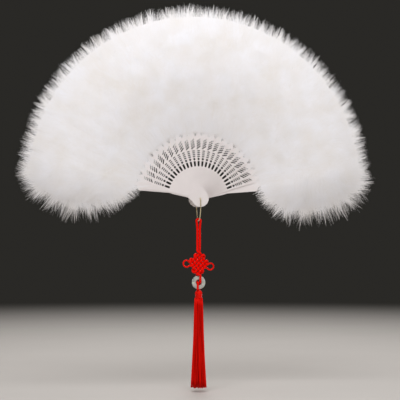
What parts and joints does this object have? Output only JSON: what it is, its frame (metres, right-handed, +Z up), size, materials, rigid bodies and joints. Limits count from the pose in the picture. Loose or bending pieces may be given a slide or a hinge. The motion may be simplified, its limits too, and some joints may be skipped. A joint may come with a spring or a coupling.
{
  "type": "feather fan",
  "caption": "Folding hand fan of pierced sticks with soft white plumes, turning on a wire bail that carries a cord, an endless knot, a stone disc and a tassel.",
  "frame": {"origin": "on the pivot axis of the sticks, in the middle of their stack", "axes": "+Z up along the upright middle stick, +X to the right across the open fan, +Y from the front guard to the back guard"},
  "size_m": [0.4914, 0.047, 0.5301],
  "materials": {
    "stick_plastic": "moulded, satin white",
    "plume_down": "white down",
    "ribbon": "white satin ribbon",
    "bail_wire": "bright wire",
    "red_cord": "braided satin cord",
    "pale_stone": "polished pale green stone",
    "red_silk": "silk floss"
  },
  "bodies": {
    "blade_13": {"stick_13": "stick_plastic", "plume_13": "plume_down", "spread_ribbon": "ribbon"},
    "blade_01": {"front_guard": "stick_plastic", "plume_01": "plume_down"},
    "blade_02": {"stick_02": "stick_plastic", "plume_02": "plume_down"},
    "blade_03": {"stick_03": "stick_plastic", "plume_03": "plume_down"},
    "blade_04": {"stick_04": "stick_plastic", "plume_04": "plume_down"},
    "blade_05": {"stick_05": "stick_plastic", "plume_05": "plume_down"},
    "blade_06": {"stick_06": "stick_plastic", "plume_06": "plume_down"},
    "blade_07": {"stick_07": "stick_plastic", "plume_07": "plume_down"},
    "blade_08": {"stick_08": "stick_plastic", "plume_08": "plume_down"},
    "blade_09": {"stick_09": "stick_plastic", "plume_09": "plume_down"},
    "blade_10": {"stick_10": "stick_plastic", "plume_10": "plume_down"},
    "blade_11": {"stick_11": "stick_plastic", "plume_11": "plume_down"},
    "blade_12": {"stick_12": "stick_plastic", "plume_12": "plume_down"},
    "blade_14": {"stick_14": "stick_plastic", "plume_14": "plume_down"},
    "blade_15": {"stick_15": "stick_plastic", "plume_15": "plume_down"},
    "blade_16": {"stick_16": "stick_plastic", "plume_16": "plume_down"},
    "blade_17": {"stick_17": "stick_plastic", "plume_17": "plume_down"},
    "blade_18": {"stick_18": "stick_plastic", "plume_18": "plume_down"},
    "blade_19": {"stick_19": "stick_plastic", "plume_19": "plume_down"},
    "blade_20": {"stick_20": "stick_plastic", "plume_20": "plume_down"},
    "blade_21": {"stick_21": "stick_plastic", "plume_21": "plume_down"},
    "blade_22": {"stick_22": "stick_plastic", "plume_22": "plume_down"},
    "blade_23": {"stick_23": "stick_plastic", "plume_23": "plume_down"},
    "blade_24": {"stick_24": "stick_plastic", "plume_24": "plume_down"},
    "blade_25": {"back_guard": "stick_plastic", "plume_25": "plume_down"},
    "bail": {"bail": "bail_wire"},
    "pendant": {"tassel_cord": "red_cord", "stone_disc": "pale_stone"},
    "tassel": {"tassel_head": "red_silk", "tassel_skirt": "red_silk"}
  },
  "joints": [
    {"name": "fold_01", "type": "hinge", "parent": "blade_13", "child": "blade_01", "pos_m": [0, 0, 0], "axis": [0, 1, 0], "range_deg": [0, 77.16], "deforming": ["spread_ribbon"]},
    {"name": "fold_02", "type": "hinge", "parent": "blade_13", "child": "blade_02", "pos_m": [0, 0, 0], "axis": [0, 1, 0], "range_deg": [0, 70.73]},
    {"name": "fold_03", "type": "hinge", "parent": "blade_13", "child": "blade_03", "pos_m": [0, 0, 0], "axis": [0, 1, 0], "range_deg": [0, 64.3]},
    {"name": "fold_04", "type": "hinge", "parent": "blade_13", "child": "blade_04", "pos_m": [0, 0, 0], "axis": [0, 1, 0], "range_deg": [0, 57.87]},
    {"name": "fold_05", "type": "hinge", "parent": "blade_13", "child": "blade_05", "pos_m": [0, 0, 0], "axis": [0, 1, 0], "range_deg": [0, 51.44]},
    {"name": "fold_06", "type": "hinge", "parent": "blade_13", "child": "blade_06", "pos_m": [0, 0, 0], "axis": [0, 1, 0], "range_deg": [0, 45.01]},
    {"name": "fold_07", "type": "hinge", "parent": "blade_13", "child": "blade_07", "pos_m": [0, 0, 0], "axis": [0, 1, 0], "range_deg": [0, 38.58]},
    {"name": "fold_08", "type": "hinge", "parent": "blade_13", "child": "blade_08", "pos_m": [0, 0, 0], "axis": [0, 1, 0], "range_deg": [0, 32.15]},
    {"name": "fold_09", "type": "hinge", "parent": "blade_13", "child": "blade_09", "pos_m": [0, 0, 0], "axis": [0, 1, 0], "range_deg": [0, 25.72]},
    {"name": "fold_10", "type": "hinge", "parent": "blade_13", "child": "blade_10", "pos_m": [0, 0, 0], "axis": [0, 1, 0], "range_deg": [0, 19.29]},
    {"name": "fold_11", "type": "hinge", "parent": "blade_13", "child": "blade_11", "pos_m": [0, 0, 0], "axis": [0, 1, 0], "range_deg": [0, 12.86]},
    {"name": "fold_12", "type": "hinge", "parent": "blade_13", "child": "blade_12", "pos_m": [0, 0, 0], "axis": [0, 1, 0], "range_deg": [0, 6.43]},
    {"name": "fold_14", "type": "hinge", "parent": "blade_13", "child": "blade_14", "pos_m": [0, 0, 0], "axis": [0, 1, 0], "range_deg": [-6.43, 0]},
    {"name": "fold_15", "type": "hinge", "parent": "blade_13", "child": "blade_15", "pos_m": [0, 0, 0], "axis": [0, 1, 0], "range_deg": [-12.86, 0]},
    {"name": "fold_16", "type": "hinge", "parent": "blade_13", "child": "blade_16", "pos_m": [0, 0, 0], "axis": [0, 1, 0], "range_deg": [-19.29, 0]},
    {"name": "fold_17", "type": "hinge", "parent": "blade_13", "child": "blade_17", "pos_m": [0, 0, 0], "axis": [0, 1, 0], "range_deg": [-25.72, 0]},
    {"name": "fold_18", "type": "hinge", "parent": "blade_13", "child": "blade_18", "pos_m": [0, 0, 0], "axis": [0, 1, 0], "range_deg": [-32.15, 0]},
    {"name": "fold_19", "type": "hinge", "parent": "blade_13", "child": "blade_19", "pos_m": [0, 0, 0], "axis": [0, 1, 0], "range_deg": [-38.58, 0]},
    {"name": "fold_20", "type": "hinge", "parent": "blade_13", "child": "blade_20", "pos_m": [0, 0, 0], "axis": [0, 1, 0], "range_deg": [-45.01, 0]},
    {"name": "fold_21", "type": "hinge", "parent": "blade_13", "child": "blade_21", "pos_m": [0, 0, 0], "axis": [0, 1, 0], "range_deg": [-51.44, 0]},
    {"name": "fold_22", "type": "hinge", "parent": "blade_13", "child": "blade_22", "pos_m": [0, 0, 0], "axis": [0, 1, 0], "range_deg": [-57.87, 0]},
    {"name": "fold_23", "type": "hinge", "parent": "blade_13", "child": "blade_23", "pos_m": [0, 0, 0], "axis": [0, 1, 0], "range_deg": [-64.3, 0]},
    {"name": "fold_24", "type": "hinge", "parent": "blade_13", "child": "blade_24", "pos_m": [0, 0, 0], "axis": [0, 1, 0], "range_deg": [-70.73, 0]},
    {"name": "fold_25", "type": "hinge", "parent": "blade_13", "child": "blade_25", "pos_m": [0, 0, 0], "axis": [0, 1, 0], "range_deg": [-77.16, 0]},
    {"name": "bail_swing", "type": "hinge", "parent": "blade_13", "child": "bail", "pos_m": [0, 0, 0], "axis": [0, 1, 0], "range_deg": [-60, 60]},
    {"name": "pendant_swing", "type": "hinge", "parent": "bail", "child": "pendant", "pos_m": [0, 0, -0.0314], "axis": [1, 0, 0], "range_deg": [-30, 30]},
    {"name": "tassel_sway", "type": "hinge", "parent": "pendant", "child": "tassel", "pos_m": [0, 0, -0.13279], "axis": [0, 1, 0], "range_deg": [-30, 30]}
  ],
  "couplings": [
    {"joint": "fold_02", "follows": "fold_01", "ratio": 0.91667},
    {"joint": "fold_03", "follows": "fold_01", "ratio": 0.83333},
    {"joint": "fold_04", "follows": "fold_01", "ratio": 0.75},
    {"joint": "fold_05", "follows": "fold_01", "ratio": 0.66667},
    {"joint": "fold_06", "follows": "fold_01", "ratio": 0.58333},
    {"joint": "fold_07", "follows": "fold_01", "ratio": 0.5},
    {"joint": "fold_08", "follows": "fold_01", "ratio": 0.41667},
    {"joint": "fold_09", "follows": "fold_01", "ratio": 0.33333},
    {"joint": "fold_10", "follows": "fold_01", "ratio": 0.25},
    {"joint": "fold_11", "follows": "fold_01", "ratio": 0.16667},
    {"joint": "fold_12", "follows": "fold_01", "ratio": 0.083333},
    {"joint": "fold_14", "follows": "fold_01", "ratio": -0.083333},
    {"joint": "fold_15", "follows": "fold_01", "ratio": -0.16667},
    {"joint": "fold_16", "follows": "fold_01", "ratio": -0.25},
    {"joint": "fold_17", "follows": "fold_01", "ratio": -0.33333},
    {"joint": "fold_18", "follows": "fold_01", "ratio": -0.41667},
    {"joint": "fold_19", "follows": "fold_01", "ratio": -0.5},
    {"joint": "fold_20", "follows": "fold_01", "ratio": -0.58333},
    {"joint": "fold_21", "follows": "fold_01", "ratio": -0.66667},
    {"joint": "fold_22", "follows": "fold_01", "ratio": -0.75},
    {"joint": "fold_23", "follows": "fold_01", "ratio": -0.83333},
    {"joint": "fold_24", "follows": "fold_01", "ratio": -0.91667},
    {"joint": "fold_25", "follows": "fold_01", "ratio": -1}
  ]
}
